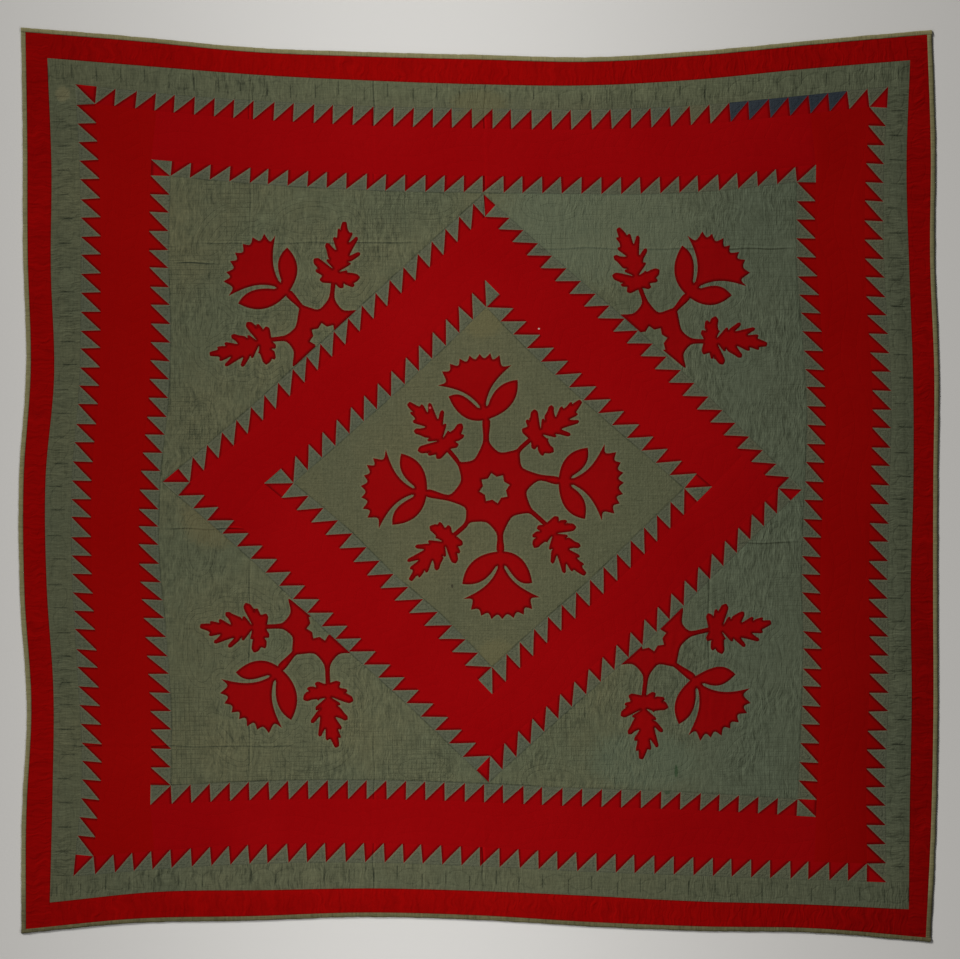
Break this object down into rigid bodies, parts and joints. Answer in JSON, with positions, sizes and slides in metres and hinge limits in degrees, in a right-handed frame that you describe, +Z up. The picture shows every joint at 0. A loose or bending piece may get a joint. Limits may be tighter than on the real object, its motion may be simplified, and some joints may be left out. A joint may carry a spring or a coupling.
{
  "type": "applique patchwork quilt",
  "caption": "Square bed quilt lying flat: an applique medallion on a square set on point, framed by sawtooth-edged bands, green corner triangles, plain borders and a narrow binding.",
  "frame": {"origin": "middle of the underside's bounding rectangle, on the surface the quilt lies on", "axes": "+X to the quilt's right seen from above, +Y to its top edge, +Z up out of its face"},
  "size_m": [2.153, 2.1396, 0.0049],
  "materials": {
    "red_cotton": "plain weave cotton, quilted, matt",
    "green_cotton": "plain weave cotton, quilted, faded, matt",
    "red_applique": "plain weave cotton with a turned edge, matt",
    "binding_cotton": "plain weave cotton, folded and worn, matt"
  },
  "bodies": {
    "root": {"binding_top": "binding_cotton", "binding_right": "binding_cotton", "binding_bottom": "binding_cotton", "binding_left": "binding_cotton", "red_border_top": "red_cotton", "red_border_right": "red_cotton", "red_border_bottom": "red_cotton", "red_border_left": "red_cotton", "green_border_top": "green_cotton", "green_border_right": "green_cotton", "green_border_bottom": "green_cotton", "green_border_left": "green_cotton", "frame_outer_sawtooth_top": "red_cotton", "frame_outer_sawtooth_right": "red_cotton", "frame_outer_sawtooth_bottom": "red_cotton", "frame_outer_sawtooth_left": "red_cotton", "frame_band_top": "red_cotton", "frame_band_right": "red_cotton", "frame_band_bottom": "red_cotton", "frame_band_left": "red_cotton", "frame_inner_sawtooth_top": "green_cotton", "frame_inner_sawtooth_right": "green_cotton", "frame_inner_sawtooth_bottom": "green_cotton", "frame_inner_sawtooth_left": "green_cotton", "diamond_outer_sawtooth_ne": "red_cotton", "diamond_outer_sawtooth_se": "red_cotton", "diamond_outer_sawtooth_sw": "red_cotton", "diamond_outer_sawtooth_nw": "red_cotton", "diamond_band_ne": "red_cotton", "diamond_band_se": "red_cotton", "diamond_band_sw": "red_cotton", "diamond_band_nw": "red_cotton", "diamond_inner_sawtooth_ne": "green_cotton", "diamond_inner_sawtooth_se": "green_cotton", "diamond_inner_sawtooth_sw": "green_cotton", "diamond_inner_sawtooth_nw": "green_cotton", "centre_square": "green_cotton", "corner_triangle_tl": "green_cotton", "corner_triangle_tr": "green_cotton", "corner_triangle_br": "green_cotton", "corner_triangle_bl": "green_cotton", "applique_centre": "red_applique", "applique_tl": "red_applique", "applique_tr": "red_applique", "applique_br": "red_applique", "applique_bl": "red_applique"}
  },
  "joints": []
}
